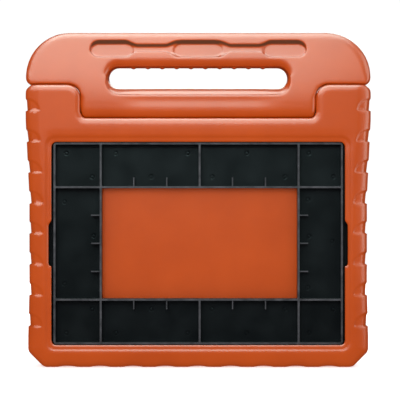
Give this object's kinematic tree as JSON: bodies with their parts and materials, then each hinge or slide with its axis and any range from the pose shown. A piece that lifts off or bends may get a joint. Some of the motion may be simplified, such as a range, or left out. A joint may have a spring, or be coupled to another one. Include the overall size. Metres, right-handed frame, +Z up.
{
  "type": "tablet case",
  "caption": "Moulded foam tablet case with ribbed sides, a carry handle that folds back as a stand, and a ribbed spacer tray in its pocket.",
  "frame": {"origin": "middle of the bottom edge, halfway through the depth", "axes": "+Z up with the handle at the top, -Y out of the screen side, +X to the right as seen from the screen side"},
  "size_m": [0.2852, 0.027, 0.277],
  "materials": {
    "eva_foam": "matte, fine moulded skin",
    "black_polypropylene": "satin",
    "nylon": "satin",
    "acetal": "semi-gloss",
    "zinc_steel": "zinc plated"
  },
  "bodies": {
    "case": {"body_shell": "eva_foam", "spacer_tray": "black_polypropylene", "ear_socket_left": "nylon", "ear_socket_right": "nylon", "thrust_washer_left": "acetal", "thrust_washer_right": "acetal"},
    "handle": {"handle_grip": "eva_foam", "core_rod": "nylon", "ratchet_hub_left": "nylon", "ratchet_hub_right": "nylon", "pivot_screw_left": "zinc_steel", "pivot_screw_right": "zinc_steel"}
  },
  "joints": [
    {"name": "handle_fold", "type": "hinge", "parent": "case", "child": "handle", "pos_m": [0, 0, 0.218], "axis": [-1, 0, 0], "range_deg": [0, 110]}
  ]
}
